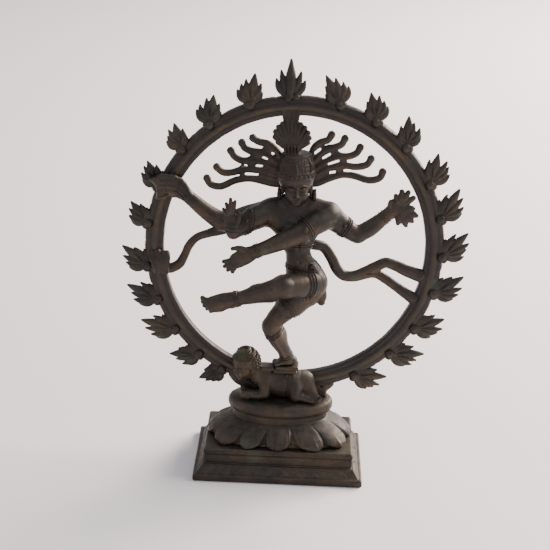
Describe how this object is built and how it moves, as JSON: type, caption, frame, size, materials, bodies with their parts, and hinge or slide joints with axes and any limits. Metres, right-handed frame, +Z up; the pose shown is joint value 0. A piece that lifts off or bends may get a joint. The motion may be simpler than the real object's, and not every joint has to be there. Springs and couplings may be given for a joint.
{
  "type": "nataraja statue",
  "caption": "Cast brass statue of a four-armed dancer on a dwarf, inside a ring of flames, on a lotus seat and a stepped plinth.",
  "frame": {"origin": "on the floor, midway between the outermost flames and midway between the plinth's front and back edges", "axes": "+Z up, the dancer faces -Y, +X to the right as seen from the front"},
  "size_m": [0.2244, 0.071, 0.2839],
  "materials": {
    "base_bronze": "dusty dark patina",
    "ring_bronze": "dark patina, worn olive on the raised band",
    "figure_bronze": "dark patina, worn warm on the raised parts",
    "fixing_steel": "plain"
  },
  "bodies": {
    "root": {"plinth": "base_bronze", "lotus_tier": "base_bronze", "lotus_seat": "base_bronze", "dwarf_body": "base_bronze", "dwarf_head": "base_bronze", "dwarf_arms": "base_bronze", "dwarf_legs": "base_bronze", "flame_ring": "ring_bronze", "ring_foot": "ring_bronze", "flame_top": "ring_bronze", "flame_left_01": "ring_bronze", "flame_left_02": "ring_bronze", "flame_left_03": "ring_bronze", "flame_left_04": "ring_bronze", "flame_left_05": "ring_bronze", "flame_left_06": "ring_bronze", "flame_left_07": "ring_bronze", "flame_left_08": "ring_bronze", "flame_left_09": "ring_bronze", "flame_left_10": "ring_bronze", "flame_right_01": "ring_bronze", "flame_right_02": "ring_bronze", "flame_right_03": "ring_bronze", "flame_right_04": "ring_bronze", "flame_right_05": "ring_bronze", "flame_right_06": "ring_bronze", "flame_right_07": "ring_bronze", "flame_right_08": "ring_bronze", "flame_right_09": "ring_bronze", "flame_right_10": "ring_bronze", "tie_stud": "fixing_steel", "stud_washer": "fixing_steel", "stud_nut": "fixing_steel", "foot_slab": "figure_bronze", "torso": "figure_bronze", "hips": "figure_bronze", "standing_leg": "figure_bronze", "standing_foot": "figure_bronze", "raised_leg": "figure_bronze", "head": "figure_bronze", "cap": "figure_bronze", "crest_fan": "figure_bronze", "hair_left": "figure_bronze", "hair_right": "figure_bronze", "drum_arm": "figure_bronze", "palm_arm": "figure_bronze", "crossing_arm": "figure_bronze", "flame_arm": "figure_bronze", "hand_drum": "figure_bronze", "hand_flame": "figure_bronze", "scarf_left": "figure_bronze", "scarf_right": "figure_bronze", "waist_tassel": "figure_bronze", "short_hems": "figure_bronze", "necklace": "figure_bronze", "earrings": "figure_bronze", "armlets": "figure_bronze", "anklets": "figure_bronze"}
  },
  "joints": []
}
